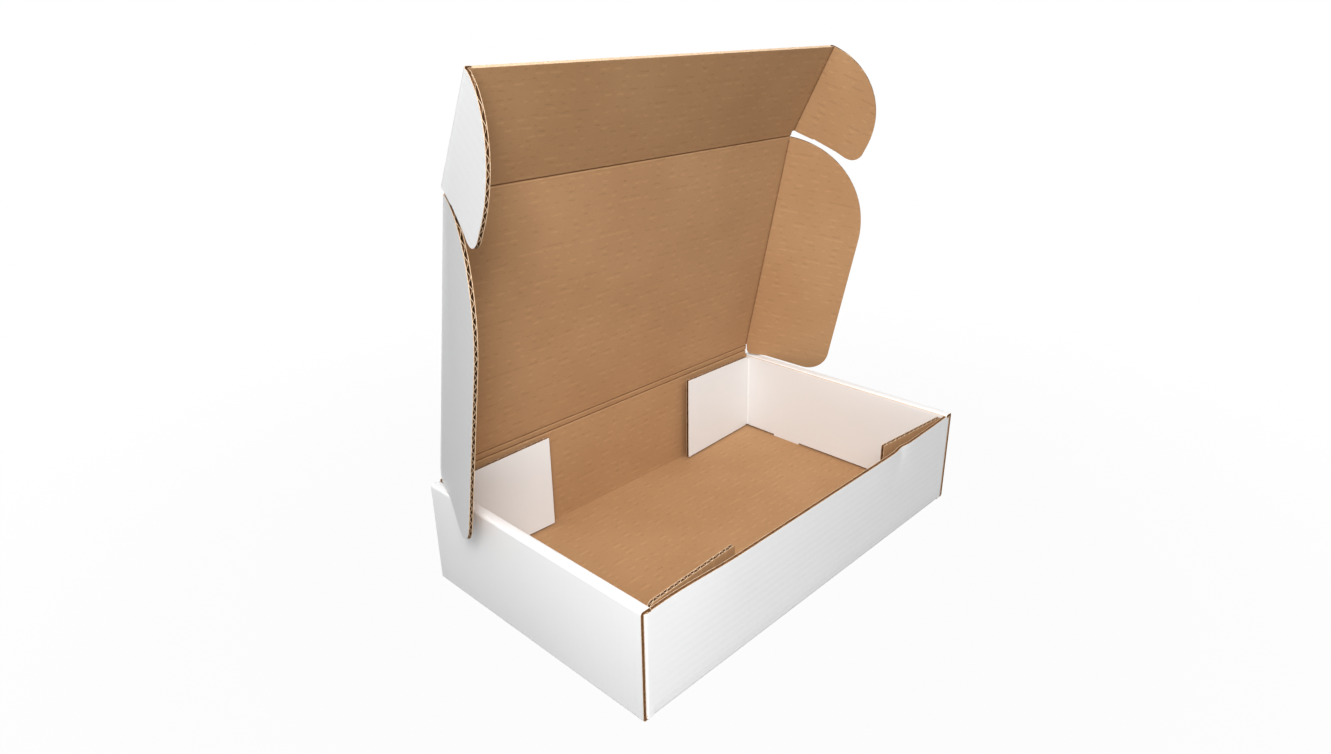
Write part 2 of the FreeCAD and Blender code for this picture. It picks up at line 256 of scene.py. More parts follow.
class Shader:
    """One node tree, of a material or of the world."""

    def __init__(self, owner: bpy.types.Material | bpy.types.World) -> None:
        """Empty the owner's tree.

        Args:
            owner: The material or world.
        """
        owner.use_nodes = True
        self.owner = owner
        self.tree = owner.node_tree
        self.tree.nodes.clear()

    @classmethod
    def material(cls, name: str) -> Shader:
        """Start an empty material."""
        return cls(bpy.data.materials.new(name))

    def node(self, kind: str, settings: dict[str, object] | None = None,
             inputs: dict[str | int, object] | None = None) -> Made:
        """Add any node.

        Args:
            kind: The node's type.
            settings: Properties, set before its sockets.
            inputs: Values or links by socket name or place.

        Returns:
            The new node.
        """
        node = self.tree.nodes.new(kind)
        for key, value in (settings or {}).items():
            setattr(node, key, value)
        for key, value in (inputs or {}).items():
            socket = node.inputs[key]
            if isinstance(value, Signal):
                self.tree.links.new(value.socket, socket)
            elif isinstance(value, bpy.types.NodeSocket):
                self.tree.links.new(value, socket)
            else:
                socket.default_value = value
        return Made(self, node)

    def mix(self, amount: Signal | float, first: object, second: object,
            blend: str = "MIX") -> bpy.types.NodeSocket:
        """Blend two colours.

        Args:
            amount: Share of the second colour.
            first: Colour or socket.
            second: Colour or socket.
            blend: The node's blend type.

        Returns:
            The colour socket.
        """
        settings = {"data_type": "RGBA", "blend_type": blend, "clamp_factor": True}
        return self.node("ShaderNodeMix", settings, {0: amount, 6: first, 7: second}).out(2)

    def flat(self, along: float = 1.0, across: float = 1.0) -> bpy.types.NodeSocket:
        """Place on the flat sheet, along and across the flutes, each stretched.

        Args:
            along: Factor along the flutes.
            across: Factor across them.

        Returns:
            The vector socket.
        """
        place = self.node("ShaderNodeUVMap", {"uv_map": "flat"}).out("UV")
        inputs = {"Vector": place, "Scale": (along, across, 1.0)}
        return self.node("ShaderNodeMapping", {}, inputs).out()

    def across(self) -> Signal:
        """Metres across the flutes on the flat sheet."""
        return self.node("ShaderNodeSeparateXYZ", {}, {0: self.flat()}).signal("Y")

    def noise(self, vector: bpy.types.NodeSocket, scale: float, detail: float = 2.0,
              rough: float = 0.5) -> Signal:
        """Soft noise from 0 to 1.

        Args:
            vector: Where it is read.
            scale: Blobs per unit.
            detail: Finer layers.
            rough: Weight of the finer layers.

        Returns:
            The noise.
        """
        inputs = {"Vector": vector, "Scale": scale, "Detail": detail, "Roughness": rough}
        return self.node("ShaderNodeTexNoise", {}, inputs).signal()

    def bump(self, height: Signal, distance: float) -> bpy.types.NodeSocket:
        """Normal from a height of 0 to 1, and the real height of 1 in metres."""
        inputs = {"Height": height, "Distance": distance, "Strength": 1.0}
        return self.node("ShaderNodeBump", {}, inputs).out()

    def surface(self, inputs: dict[str | int, object]) -> bpy.types.Material:
        """Close the material with one plain surface.

        Args:
            inputs: Socket values of the surface.

        Returns:
            The finished material.
        """
        body = self.node("ShaderNodeBsdfPrincipled", {}, inputs)
        self.node("ShaderNodeOutputMaterial", {}, {"Surface": body.out()})
        return self.owner


Colour = tuple[float, float, float, float]


def srgb(red: int, green: int, blue: int) -> Colour:
    """A colour as it is seen, turned into linear light.

    Args:
        red: 0 to 255.
        green: 0 to 255.
        blue: 0 to 255.

    Returns:
        Linear colour with full alpha.
    """
    linear = [((c / 255 + 0.055) / 1.055) ** 2.4 if c > 10 else c / 255 / 12.92
              for c in (red, green, blue)]
    return (*linear, 1.0)


@dataclass(frozen=True)
class KraftLiner:
    """Brown uncoated inside of the board, where the flutes show through as broken lines, with painted shade along the
    score grooves.
    """

    pale: Colour = srgb(183, 143, 103)
    deep: Colour = srgb(172, 131, 92)
    fleck: Colour = srgb(138, 100, 66)
    # dark brown laid into the score grooves as painted shade
    burnished: Colour = srgb(96, 62, 36)
    sheen: Colour = (1.0, 0.93, 0.84, 1.0)
    flute_pitch: float = FLUTE_PITCH
    roughness: float = 0.84
    dark_share: float = 0.25
    dash_share: float = 0.10
    fleck_share: float = 0.36
    pale_share: float = 0.19
    # how far the painted shade darkens the kraft in the score grooves
    press_share: float = 0.75

    def build(self) -> bpy.types.Material:
        """Make the material.

        Returns:
            The material.
        """
        s = Shader.material("kraft_liner")
        cloud = s.noise(s.flat(), 14.0, 2.0, 0.5)
        pulp = s.noise(s.flat(700.0, 1100.0), 1.0, 3.0, 0.6)
        drift = s.noise(s.flat(9.0, 3.0), 1.0, 1.0)
        wave = (s.across() * (2 * math.pi / self.flute_pitch) + drift * 5.0).sine()
        broken = s.noise(s.flat(125.0, 156.0), 1.0, 1.0).ramp(0.52, 0.65)
        # weight of the painted shade along the score grooves, stored on the points by score()
        crease_shade = s.node("ShaderNodeAttribute", {"attribute_name": "crease_shade"}).signal("Fac")
        dark_line = wave.ramp(0.55, 1.0) * broken
        pale_line = (wave * -1.0).ramp(0.35, 1.0) * broken
        dashes = s.noise(s.flat(110.0, 560.0), 1.0, 1.0).ramp(0.60, 0.74)
        flecks = s.noise(s.flat(), 480.0, 0.0).ramp(0.76, 0.84)
        tone = (cloud * 0.6 + pulp * 0.4).ramp(0.25, 0.75)
        colour = s.mix(tone, self.deep, self.pale)
        marks = dark_line * self.dark_share + dashes * self.dash_share + flecks * self.fleck_share
        colour = s.mix(marks, colour, self.fleck)
        colour = s.mix(pale_line * self.pale_share, colour, self.sheen, "SOFT_LIGHT")
        # painted shade: darken the kraft along the score grooves
        colour = s.mix(crease_shade * self.press_share, colour, self.burnished)
        height = wave * 0.11 * (broken * 0.8 + 0.2) + pulp * 0.30 - dashes * 0.12
        rough = pulp * 0.10 + (self.roughness - 0.05)
        return s.surface({"Base Color": colour, "Roughness": rough, "Specular IOR Level": 0.25,
                          "Normal": s.bump(height, 0.10 * MM)})


@dataclass(frozen=True)
class WhiteLiner:
    """White coated outside of the board."""

    white: Colour = (0.86, 0.862, 0.862, 1.0)
    shade: Colour = (0.815, 0.818, 0.818, 1.0)
    flute_pitch: float = FLUTE_PITCH
    roughness: float = 0.52

    def build(self) -> bpy.types.Material:
        """Make the material.

        Returns:
            The material.
        """
        s = Shader.material("white_liner")
        cloud = s.noise(s.flat(), 9.0, 3.0, 0.5)
        grain = s.noise(s.flat(300.0, 700.0), 1.0, 2.0, 0.6)
        scuff = s.noise(s.flat(60.0, 22.0), 1.0, 4.0, 0.7).ramp(0.66, 0.80)
        wave = (s.across() * (2 * math.pi / self.flute_pitch)).sine()
        colour = s.mix(cloud.ramp(0.35, 0.75) * 0.35 + scuff * 0.12, self.white, self.shade)
        height = wave * 0.30 + grain * 0.30
        rough = cloud * 0.10 + scuff * 0.08 + (self.roughness - 0.05)
        return s.surface({"Base Color": colour, "Roughness": rough, "Specular IOR Level": 0.35,
                          "Normal": s.bump(height, 0.05 * MM)})


@dataclass(frozen=True)
class CutEdge:
    """Cut through a liner: pale torn fibres."""

    pale: Colour = srgb(228, 202, 172)
    deep: Colour = srgb(196, 162, 126)

    def build(self) -> bpy.types.Material:
        """Make the material.

        Returns:
            The material.
        """
        s = Shader.material("cut_edge")
        place = s.node("ShaderNodeTexCoord").out("Object")
        fibres = s.noise(place, 900.0, 3.0, 0.7)
        colour = s.mix(fibres.ramp(0.32, 0.68), self.deep, self.pale)
        return s.surface({"Base Color": colour, "Roughness": 0.9, "Specular IOR Level": 0.2,
                          "Normal": s.bump(fibres, 0.15 * MM)})


@dataclass(frozen=True)
class MediumAndHollowShade:
    """The wavy paper between the liners, and the liners' hidden faces, in a brown darkened as painted shade of the
    flute hollows.
    """

    # both tones sit well below the kraft liner: painted shade of the hollows between the liners
    pale: Colour = srgb(128, 90, 58)
    deep: Colour = srgb(92, 62, 38)

    def build(self) -> bpy.types.Material:
        """Make the material.

        Returns:
            The material.
        """
        s = Shader.material("fluting_paper_and_hollow_shade")
        place = s.node("ShaderNodeTexCoord").out("Object")
        fibres = s.noise(place, 500.0, 2.0, 0.6)
        colour = s.mix(fibres.ramp(0.3, 0.7), self.deep, self.pale)
        return s.surface({"Base Color": colour, "Roughness": 0.92, "Specular IOR Level": 0.15,
                          "Normal": s.bump(fibres, 0.1 * MM)})


class Finishes:
    """All four finishes of the board, each made once."""

    def __init__(self) -> None:
        """Make the materials in slot order."""
        kinds = (WhiteLiner(), KraftLiner(), CutEdge(), MediumAndHollowShade())
        self.materials: list[bpy.types.Material] = [kind.build() for kind in kinds]


@dataclass(frozen=True)
class Board:
    """Single-wall corrugated board."""

    thickness: float = 2.8 * MM
    liner: float = 0.40 * MM
    medium: float = 0.32 * MM
    flute_pitch: float = FLUTE_PITCH
    recess: float = 0.45 * MM
    wave_rest: float = 0.12 * MM
    steps_a_wave: int = 10

    @property
    def half(self) -> float:
        """Half the thickness."""
        return self.thickness / 2

    @property
    def core_half(self) -> float:
        """Half the room between the liners."""
        return self.half - self.liner - HAIRLINE


@dataclass(frozen=True)
class Corner:
    """Corner of a flat outline, and its rounding."""

    x: float
    y: float
    radius: float = 0.0


class Outline:
    """Closed flat outline with rounded corners."""

    def __init__(self, corners: Sequence[Corner], segments: int = 10) -> None:
        """Round each corner of a polygon.

        Args:
            corners: Corners in order.
            segments: Pieces of a small rounding; a large one gets more.
        """
        bm = bmesh.new()
        verts = [bm.verts.new((c.x, c.y, 0.0)) for c in corners]
        bm.faces.new(verts)
        flat = [Vector((c.x, c.y)) for c in corners]
        for i, corner in enumerate(corners):
            if corner.radius <= 0:
                continue
            before = flat[i - 1] - flat[i]
            after = flat[(i + 1) % len(flat)] - flat[i]
            reach = corner.radius / math.tan(before.angle(after) / 2)
            pieces = segments if corner.radius < LARGE_RADIUS else segments * 3
            bmesh.ops.bevel(bm, geom=[verts[i]], offset=reach, offset_type="OFFSET",
                            segments=pieces, profile=0.5, affect="VERTICES", material=-1,
                            clamp_overlap=False)
        bm.faces.ensure_lookup_table()
        face = bm.faces[0]
        face.normal_update()
        points = [vert.co.xy.copy() for vert in face.verts]
        self.points = points if face.normal.z > 0 else points[::-1]
        bm.free()

    def span(self, across: float) -> tuple[float, float] | None:
        """Where a line along the flutes enters and leaves the outline.

        Args:
            across: The line's place across the flutes.

        Returns:
            The longest run of the line inside the outline, or None where it misses.
        """
        hits: list[float] = []
        for a, b in zip(self.points, self.points[1:] + self.points[:1]):
            if (a.y - across) * (b.y - across) < 0:
                share = (across - a.y) / (b.y - a.y)
                hits.append(a.x + (b.x - a.x) * share)
        hits.sort()
        return max(zip(hits[::2], hits[1::2]), key=lambda run: run[1] - run[0], default=None)


@dataclass(frozen=True)
class Fold:
    """A fold about a line in a flat piece, towards its inner face."""

    line: float
    degrees: float
    half_width: float
    along_x: bool = True
    pivot_z: float = 0.0

    def turned(self, co: Vector) -> Vector:
        """A point after the fold.

        Args:
            co: The point on the flat piece.

        Returns:
            Where the fold takes it.
        """
        t = (co.y if self.along_x else co.x) - self.line
        share = min(max((t + self.half_width) / (2 * self.half_width), 0.0), 1.0)
        angle = math.radians(self.degrees) * share * share * (3 - 2 * share)
        z = co.z - self.pivot_z
        moved = self.line + t * math.cos(angle) - z * math.sin(angle)
        height = self.pivot_z + t * math.sin(angle) + z * math.cos(angle)
        return Vector((co.x, moved, height)) if self.along_x else Vector((moved, co.y, height))

    def ends(self, middle: float) -> tuple[Vector, Vector]:
        """Points where the fold begins and ends, for the blend.

        Args:
            middle: Place along the fold line.

        Returns:
            The two points after folding.
        """
        points = []
        for t in (self.line - self.half_width, self.line + self.half_width):
            x, y = (middle, t) if self.along_x else (t, middle)
            points.append(self.turned(Vector((x, y, self.pivot_z))))
        return points[0], points[1]

    def stations(self) -> list[float]:
        """Places of the cuts that let the board bend.

        Returns:
            Their places across the fold line, in order.
        """
        half = (0.08, 0.16, 0.24, 0.36, 0.5, 0.72, 1.0)
        steps = [-step for step in reversed(half)] + [0.0, *half]
        return [self.line + step * self.half_width for step in steps]


@dataclass(frozen=True)
class Press:
    """Section of a score line, on both sides of its middle: its groove and lips, and the spread of the painted shade
    laid along it.
    """

    depth: float
    ridge: float
    # spread of the painted shade along the groove
    mark_width: float = 0.5 * MM
    groove_width: float = 0.55 * MM
    lip_place: float = 1.5 * MM
    lip_width: float = 0.7 * MM

    def mark(self, t: float) -> float:
        """How strongly the painted crease shade is laid at a distance from the middle, from 0 to 1."""
        return math.exp(-(t / self.mark_width) ** 2)

    def rise(self, t: float) -> float:
        """How far the face rises at a distance from the middle; the groove is below 0."""
        lip = self.ridge * math.exp(-((t - self.lip_place) / self.lip_width) ** 2)
        return lip - self.depth * math.exp(-(t / self.groove_width) ** 2)


def flat_mesh() -> bmesh.types.BMesh:
    """Start an empty mesh that can store places on the flat sheet.

    Returns:
        The mesh.
    """
    bm = bmesh.new()
    bm.loops.layers.uv.new("flat")
    return bm


def draw_out(bm: bmesh.types.BMesh, face: bmesh.types.BMFace,
             height: float) -> list[bmesh.types.BMFace]:
    """Draw a flat face out along z into a closed solid.

    Args:
        bm: The mesh.
        face: Its only face.
        height: How far.

    Returns:
        The far end's faces.
    """
    grown = bmesh.ops.extrude_face_region(bm, geom=[face], use_keep_orig=True)["geom"]
    far = [item for item in grown if isinstance(item, bmesh.types.BMVert)]
    bmesh.ops.translate(bm, verts=far, vec=(0.0, 0.0, height))
    bmesh.ops.recalc_face_normals(bm, faces=bm.faces[:])
    return [item for item in grown if isinstance(item, bmesh.types.BMFace)]


def add_object(name: str, data: bpy.types.ID) -> bpy.types.Object:
    """Make an object and link it to the scene.

    Args:
        name: Its name.
        data: Its mesh, camera or lamp.

    Returns:
        The object.
    """
    obj = bpy.data.objects.new(name, data)
    bpy.context.scene.collection.objects.link(obj)
    return obj


class BoardPiece:
    """One piece of board, built flat with two liners and a core, then folded and placed."""

    def __init__(self, name: str, board: Board, finishes: Finishes) -> None:
        """Start an empty piece.

        Args:
            name: The piece's name.
            board: The board that it is cut from.
            finishes: Its materials.
        """
        self.name = name
        self.board = board
        self.finishes = finishes
        self.bm = flat_mesh()

    def _take(self, other: bmesh.types.BMesh) -> None:
        """Add another mesh to this piece.

        Args:
            other: The mesh, which is freed.
        """
        mesh = bpy.data.meshes.new("part_of_" + self.name)
        other.to_mesh(mesh)
        other.free()
        self.bm.from_mesh(mesh)
        bpy.data.meshes.remove(mesh)

    def layer(self, outline: Outline, low: float, high: float, under: Slot, over: Slot,
              inset: float = 0.0) -> None:
        """Add one flat layer with thickness.

        Args:
            outline: Its shape.
            low: Height of its lower face.
            high: Height of its upper face.
            under: Finish of the lower face.
            over: Finish of the upper face.
            inset: How far its edge stands back.
        """
        bm = flat_mesh()
        face = bm.faces.new([bm.verts.new((p.x, p.y, low)) for p in outline.points])
        if inset > 0:
            ring = bmesh.ops.inset_individual(bm, faces=[face], thickness=inset,
                                              use_even_offset=True)["faces"]
            bmesh.ops.delete(bm, geom=ring, context="FACES")
        top = draw_out(bm, face, high - low)
        for item in bm.faces:
            item.material_index = Slot.CUT
        face.material_index = under
        for item in top:
            item.material_index = over
        self._take(bm)

    def wavy_core(self, outline: Outline, start: float, stop: float) -> None:
        """Add the wavy paper, with its flutes along x, up to the outline's free edges.

        Args:
            outline: The piece's shape.
            start: First place across the flutes.
            stop: Last place across them.
        """
        b = self.board
        swing = b.half - b.liner - b.medium / 2
        step = b.flute_pitch / b.steps_a_wave
        bm = flat_mesh()
        rows: list[tuple[bmesh.types.BMVert, float]] = []
        for i in range(int((stop - start) / step) + 1):
            y = start + i * step
            span = outline.span(y)
            if span is None:
                continue
            z = swing * math.sin(2 * math.pi * y / b.flute_pitch)
            rows.append((bm.verts.new((span[1] - b.wave_rest, y, z)), span[0] + b.wave_rest))
        edges = [bm.edges.new((a[0], c[0])) for a, c in zip(rows, rows[1:])]
        ends = {tuple(vert.co): x for vert, x in rows}
        grown = bmesh.ops.extrude_edge_only(bm, edges=edges)["geom"]
        for vert in (item for item in grown if isinstance(item, bmesh.types.BMVert)):
            vert.co.x = ends[tuple(vert.co)]
        bmesh.ops.recalc_face_normals(bm, faces=bm.faces[:])
        everything = bm.faces[:] + bm.edges[:] + bm.verts[:]
        bmesh.ops.solidify(bm, geom=everything, thickness=b.medium)
        bmesh.ops.recalc_face_normals(bm, faces=bm.faces[:])
        for face in bm.faces:
            # a face that looks along the flutes is a cut end
            # the flanks inside the flutes take the darkened medium finish, painted shade of the hollows
            face.material_index = Slot.CUT if abs(face.normal.x) > 0.01 else Slot.MEDIUM
        self._take(bm)

    def cut_flat(self, outline: Outline, core: Core, under: Slot, over: Slot,
                 wave: tuple[float, float] | None = None) -> None:
        """Add liners and core for a whole outline.

        Args:
            outline: The piece's shape.
            core: What shows at its cut edges.
            under: Finish of its lower face.
            over: Finish of its upper face.
            wave: First and last place of the wavy paper.
        """
        b = self.board
        # the liners' faces towards the core take the darkened medium finish, painted shade where they show in the
        # recess
        self.layer(outline, -b.half, -b.half + b.liner, under, Slot.MEDIUM)
        self.layer(outline, b.half - b.liner, b.half, Slot.MEDIUM, over)
        if core is Core.WAVY and wave is not None:
            self.wavy_core(outline, *wave)
        else:
            self.layer(outline, -b.core_half, b.core_half, Slot.MEDIUM, Slot.MEDIUM, b.recess)

    def slice(self, axis: int, places: Iterable[float]) -> None:
        """Cut every face along planes, so that it can bend there.

        Args:
            axis: 0, 1 or 2 for planes across x, y or z.
            places: Where the planes are.
        """
        normal = Vector((0.0, 0.0, 0.0))
        normal[axis] = 1.0
        for place in places:
            everything = self.bm.faces[:] + self.bm.edges[:] + self.bm.verts[:]
            bmesh.ops.bisect_plane(self.bm, geom=everything, plane_co=normal * place,
                                   plane_no=normal, dist=1e-7)

    def lay_flat_map(self, place: Callable[[Vector], tuple[float, float]]) -> None:
        """Store where each face corner lies on the flat sheet.

        Args:
            place: Gives metres along and across the flutes for a point.
        """
        layer = self.bm.loops.layers.uv["flat"]
        for face in self.bm.faces:
            for loop in face.loops:
                loop[layer].uv = place(loop.vert.co)

    def score(self, fold: Fold, press: Press) -> None:
        """Press a groove into the inner face along a fold, with raised lips, and store the weight of the painted
        crease shade along it.

        Args:
            fold: Where.
            press: The groove's section.
        """
        # weight of the painted shade in the groove, read by the kraft finish
        crease_shade = self.bm.verts.layers.float.new("crease_shade")
        for vert in self.bm.verts:
            share = max(vert.co.z, 0.0) / self.board.half
            t = abs((vert.co.y if fold.along_x else vert.co.x) - fold.line)
            vert[crease_shade] = share * press.mark(t)
            vert.co.z += share * press.rise(t)

    def warp(self, move: Callable[[Vector], Vector]) -> None:
        """Move every point by a function."""
        for vert in self.bm.verts:
            vert.co = move(vert.co)

    def place(self, matrix: Matrix) -> None:
        """Move the piece into the box's frame.

        Args:
            matrix: Where its flat frame goes; a mirroring one turns the faces back out.
        """
        bmesh.ops.transform(self.bm, matrix=matrix, verts=self.bm.verts[:])
        if matrix.determinant() < 0:
            bmesh.ops.reverse_faces(self.bm, faces=self.bm.faces[:])

    def finish(self, node: str) -> bpy.types.Object:
        """Make the object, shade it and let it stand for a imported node.

        Args:
            node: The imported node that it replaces.

        Returns:
            The new object.
        """
        mesh = bpy.data.meshes.new(self.name)
        self.bm.to_mesh(mesh)
        self.bm.free()
        for material in self.finishes.materials:
            mesh.materials.append(material)
        for polygon in mesh.polygons:
            polygon.use_smooth = True
        mesh.set_sharp_from_angle(angle=math.radians(SHARP_ANGLE))
        obj = add_object(self.name, mesh)
        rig.replaces(obj, node)
        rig.slot(obj, "board")
        LOG.info("%s: %d faces", self.name, len(mesh.polygons))
        return obj


def offset_path(path: Sequence[tuple[float, float]], distance: float) -> list[Vector]:
    """A path of square folds, moved sideways to its left.

    Args:
        path: Points of the path.
        distance: How far; negative is to the right.

    Returns:
        The moved points.
    """
    points = [Vector(p) for p in path]
    moved = []
    for i, here in enumerate(points):
        directions = []
        if i > 0:
            directions.append((here - points[i - 1]).normalized())
        if i < len(points) - 1:
            directions.append((points[i + 1] - here).normalized())
        normals = {(-round(d.y, 6), round(d.x, 6)) for d in directions}
        side = sum((Vector(normal) for normal in normals), Vector((0.0, 0.0)))
        moved.append(here + side * distance)
    return moved


def sheet_layer(path: Sequence[tuple[float, float]], low: float, high: float,
                bend_radius: float) -> Outline:
    """Cross-section of one layer of a folded sheet.

    Args:
        path: The sheet's middle line.
        low: The layer's right side, from the middle line.
        high: Its left side.
        bend_radius: Radius of the middle line at a fold.

    Returns:
        The closed section.
    """
    left = offset_path(path, high)
    right = offset_path(path, low)
    points = [Vector(p) for p in path]

    def radius(i: int, offset: float) -> float:
        """Rounding of one corner on one side.

        Args:
            i: Which point of the path.
            offset: Distance from the middle line, to its left.

        Returns:
            The radius; 0 at the ends.
        """
        if i in (0, len(points) - 1):
            return 0.0
        a = points[i] - points[i - 1]
        b = points[i + 1] - points[i]
        turn = 1.0 if a.x * b.y - a.y * b.x > 0 else -1.0
        return max(bend_radius - turn * offset, LEAST_RADIUS)

    corners = [Corner(p.x, p.y, radius(i, high)) for i, p in enumerate(left)]
    back = [Corner(p.x, p.y, radius(i, low)) for i, p in enumerate(right)]
    return Outline(corners + back[::-1], segments=6)


class FoldedSheet(BoardPiece):
    """A sheet folded across its length: sections drawn out along one direction."""

    def section(self, path: Sequence[tuple[float, float]], start: float, stop: float,
                bend_radius: float, left: Slot, right: Slot) -> None:
        """Add both liners and the core of a folded sheet, standing on the xy plane.

        Args:
            path: Middle line of the sheet in x and y.
            start: Lowest z.
            stop: Highest z.
            bend_radius: Radius of the middle line at folds.
            left: Finish of the face on the path's left.
            right: Finish of the face on its right.
        """
        b = self.board
        h = b.half
        self.layer_up(sheet_layer(path, h - b.liner, h, bend_radius), start, stop, left, path)
        self.layer_up(sheet_layer(path, -h, -h + b.liner, bend_radius), start, stop, right, path)
        shortened = list(path)
        for tip, neighbour in ((0, 1), (-1, -2)):
            here = Vector(path[tip])
            run = (Vector(path[neighbour]) - here).normalized()
            shortened[tip] = tuple(here + run * b.recess)
        # the core stands back at both ends, all in the darkened medium finish: a dark strip painted as the shade of
        # the flute hollows along a cut edge
        self.layer_up(sheet_layer(shortened, -b.core_half, b.core_half, bend_radius),
                      start + b.recess, stop - b.recess, Slot.MEDIUM, path)

    def layer_up(self, outline: Outline, start: float, stop: float, finish: Slot,
                 path: Sequence[tuple[float, float]]) -> None:
        """Draw one layer's section out along z.

        Args:
            outline: The section.
            start: Lowest z.
            stop: Highest z.
            finish: Finish of the layer's shown side.
            path: The sheet's middle line.
        """
        bm = flat_mesh()
        face = bm.faces.new([bm.verts.new((p.x, p.y, start)) for p in outline.points])
        draw_out(bm, face, stop - start)
        ends = [Vector(path[0]), Vector(path[-1])]
        runs = [(Vector(path[1]) - ends[0]).normalized(), (ends[1] - Vector(path[-2])).normalized()]
        for item in bm.faces:
            item.normal_update()
            middle = item.calc_center_median().xy
            looks = item.normal.xy
            is_end = abs(item.normal.z) > 0.9 or any(
                abs(looks.dot(run)) > 0.9 and abs((middle - end).dot(run)) < NEAR
                for end, run in zip(ends, runs))
            # the core, ends included, and the liners' faces towards it take the darkened medium finish, painted shade
            # of the hollows
            if finish is not Slot.MEDIUM and is_end:
                item.material_index = Slot.CUT
            else:
                out = not is_end and self._faces_out(middle, looks, path)
                item.material_index = finish if out else Slot.MEDIUM
        self._take(bm)

    @staticmethod
    def _faces_out(middle: Vector, normal: Vector, path: Sequence[tuple[float, float]]) -> bool:
        """Whether a face of a layer looks away from the sheet's middle line.

        Args:
            middle: The face's middle.
            normal: Its normal.
            path: The sheet's middle line.

        Returns:
            True where it does.
        """
        ways = []
        for a, b in zip(path, path[1:]):
            start = Vector(a)
            run = Vector(b) - start
            share = min(max((middle - start).dot(run) / run.length_squared, 0.0), 1.0)
            ways.append(middle - (start + run * share))
        return min(ways, key=lambda way: way.length).dot(normal) > 0


def turned_frame(y: float, z: float, degrees: float) -> Matrix:
    """Frame at a place in y and z, turned about x."""
    return Matrix.Translation((0.0, y, z)) @ Matrix.Rotation(math.radians(degrees), 4, "X")


@dataclass(frozen=True)
class BoxSizes:
    """Sizes of the box that several sub-assemblies share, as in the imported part."""

    board: Board = Board()
    length: float = 380.0 * MM
    depth: float = 225.5 * MM
    height: float = 83.0 * MM
    front_height: float = 82.0 * MM
    back_height: float = 88.0 * MM
    side_setback: float = 0.5 * MM
    layer_gap: float = 0.25 * MM
    running_gap: float = 0.5 * MM
    lid_side_gap: float = 0.3 * MM
    hinge_strip_width: float = 6.0 * MM
    lid_panel_depth: float = 216.0 * MM
    tuck_overhang: float = 2.6 * MM
    strip_lean: float = 9.0
    lid_bend: float = 3.1
    tuck_bend: float = 15.8
    crease: float = 4.0 * MM

    @property
    def outer_x(self) -> float:
        """Outside of a side wall."""
        return self.length / 2

    @property
    def front_y(self) -> float:
        """Outside of the front wall."""
        return -self.depth / 2

    @property
    def back_y(self) -> float:
        """Outside of the back wall."""
        return self.depth / 2

    @property
    def wall_band(self) -> float:
        """Width of a rolled side wall."""
        return 3 * self.board.thickness + 2 * self.layer_gap

    @property
    def inner_x(self) -> float:
        """Inside face of a side wall."""
        return self.outer_x - self.wall_band

    @property
    def floor_edge(self) -> float:
        """Where the front and back walls turn into the corners."""
        return self.outer_x - 3 * self.board.thickness - self.layer_gap

    @property
    def rolled_edge(self) -> float:
        """Where the inner side panel ends on the flat sheet, at the floor."""
        return self.outer_x + 2 * self.height + self.wall_band

    @property
    def end_corner(self) -> float:
        """Front or back face to the inside face of an end flap at its hinge."""
        return 2 * self.board.thickness + self.running_gap

    @property
    def lid_half(self) -> float:
        """Half the lid between the score lines of its side flaps."""
        return self.inner_x - self.lid_side_gap - self.board.half

    @property
    def tuck_half(self) -> float:
        """Half the tuck panel between the score lines of its ears."""
        return self.lid_half + self.tuck_overhang

    def wall_frame(self) -> Matrix:
        """Frame of the back wall at the first score line: y up, z to the inside."""
        return turned_frame(self.back_y - self.board.half, self.back_height, 90)

    def strip_frame(self) -> Matrix:
        """Frame of the strip over the back wall."""
        return self.wall_frame() @ turned_frame(0.0, 0.0, self.strip_lean)

    def lid_frame(self) -> Matrix:
        """Frame of the lid."""
        return self.strip_frame() @ turned_frame(self.hinge_strip_width, 0.0, self.lid_bend)

    def tuck_frame(self) -> Matrix:
        """Frame of the tuck panel."""
        return self.lid_frame() @ turned_frame(self.lid_panel_depth, 0.0, self.tuck_bend)


@dataclass(frozen=True)
class Panel:
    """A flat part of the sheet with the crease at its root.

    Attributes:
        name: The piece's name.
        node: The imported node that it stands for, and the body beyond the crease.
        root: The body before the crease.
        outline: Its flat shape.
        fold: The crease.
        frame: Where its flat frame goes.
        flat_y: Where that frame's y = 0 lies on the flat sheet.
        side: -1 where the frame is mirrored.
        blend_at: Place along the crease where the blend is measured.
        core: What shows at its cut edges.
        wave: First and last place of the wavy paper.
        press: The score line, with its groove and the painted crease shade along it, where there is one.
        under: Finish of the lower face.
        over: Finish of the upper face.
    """

    name: str
    node: str
    root: str
    outline: Outline
    fold: Fold
    frame: Matrix
    flat_y: float
    side: int = 1
    blend_at: float = 0.0
    core: Core = Core.RECESSED
    wave: tuple[float, float] | None = None
    press: Press | None = None
    under: Slot = Slot.WHITE
    over: Slot = Slot.KRAFT


